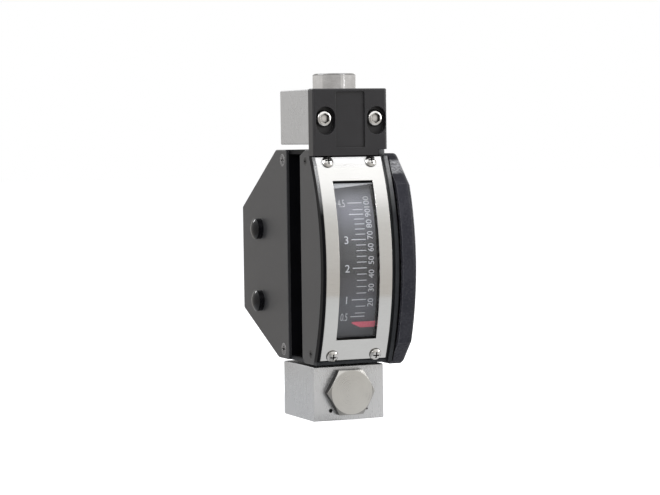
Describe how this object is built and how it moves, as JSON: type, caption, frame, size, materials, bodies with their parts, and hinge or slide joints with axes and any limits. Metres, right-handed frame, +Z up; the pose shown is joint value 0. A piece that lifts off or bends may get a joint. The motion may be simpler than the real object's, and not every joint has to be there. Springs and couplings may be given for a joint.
{
  "type": "rotameter",
  "caption": "Metal-tube variable-area flow meter with square steel end blocks, a float magnet, a curved dial and a magnetically driven pointer in a black case.",
  "frame": {"origin": "middle of the underside of the inlet block, on which the meter stands", "axes": "+Z up along the metering tube, -Y out of the dial, +X to the right as the dial is read"},
  "size_m": [0.0544, 0.1097, 0.1715],
  "materials": {
    "block_steel": "stainless steel bar, fine ground",
    "plug_steel": "turned stainless steel",
    "seal_rubber": "fluorocarbon rubber rings",
    "tube_steel": "drawn stainless steel tube and rod",
    "float_steel": "turned stainless steel",
    "magnet": "sintered magnet, nickel plated",
    "case_black": "aluminium die casting, black powder coat",
    "clamp_metal": "aluminium, black anodised",
    "screw_steel": "stainless steel screws",
    "screw_bright": "bright plated button head screws",
    "screw_black": "blackened steel screws",
    "gasket_rubber": "black rubber sheet",
    "window_clear": "clear curved pane",
    "bezel_steel": "brushed stainless steel sheet, bent",
    "dial_grey": "dark grey enamelled sheet with white marks",
    "plate_black": "aluminium plate, satin black",
    "plug_plastic": "glossy black moulded plastic",
    "cover_black": "aluminium casting, textured black paint",
    "head_cover_black": "satin black moulding",
    "bracket_steel": "bent steel sheet",
    "bush_bronze": "bronze and brass turned parts",
    "shaft_steel": "ground steel",
    "lever_metal": "thin aluminium sheet, black anodised",
    "pointer_red": "red enamelled blade"
  },
  "bodies": {
    "meter": {"inlet_block": "block_steel", "outlet_block": "block_steel", "inlet_plug": "plug_steel", "outlet_plug": "plug_steel", "plug_seals": "seal_rubber", "tube_seals": "seal_rubber", "metering_tube": "tube_steel", "float_seat": "tube_steel", "float_stop": "tube_steel", "main_case": "case_black", "tube_clamps": "clamp_metal", "clamp_screws": "screw_steel", "window_gasket": "gasket_rubber", "window_glass": "window_clear", "bezel": "bezel_steel", "bezel_screws": "screw_steel", "dial_plate": "dial_grey", "dial_screws": "screw_steel", "front_side_plate": "plate_black", "front_plate_screws": "screw_black", "rear_side_plate": "plate_black", "rear_plate_screws": "screw_steel", "hole_plugs": "plug_plastic", "side_cover_gasket": "gasket_rubber", "side_cover": "cover_black", "side_cover_screws": "screw_black", "head_cover": "head_cover_black", "head_cover_screws": "screw_bright", "bearing_bracket": "bracket_steel", "bracket_screws": "screw_steel", "pivot_bushes": "bush_bronze"},
    "float": {"float_body": "float_steel", "float_magnet": "magnet", "float_cap": "float_steel"},
    "pointer_arm": {"pivot_shaft": "shaft_steel", "shaft_clips": "shaft_steel", "lever_hub": "bush_bronze", "pointer_lever": "lever_metal", "pointer": "pointer_red", "lever_magnet": "magnet", "balance_weight": "bush_bronze"}
  },
  "joints": [
    {"name": "float_slide", "type": "slide", "parent": "meter", "child": "float", "axis": [0, 0, 1], "range_m": [0, 0.04]},
    {"name": "pointer_swing", "type": "hinge", "parent": "meter", "child": "pointer_arm", "pos_m": [0.0147, 0.058, 0.077], "axis": [-1, 0, 0], "range_deg": [0, 39.6]}
  ],
  "couplings": [
    {"joint": "pointer_swing", "follows": "float_slide", "rad_per_m": 17.27}
  ]
}
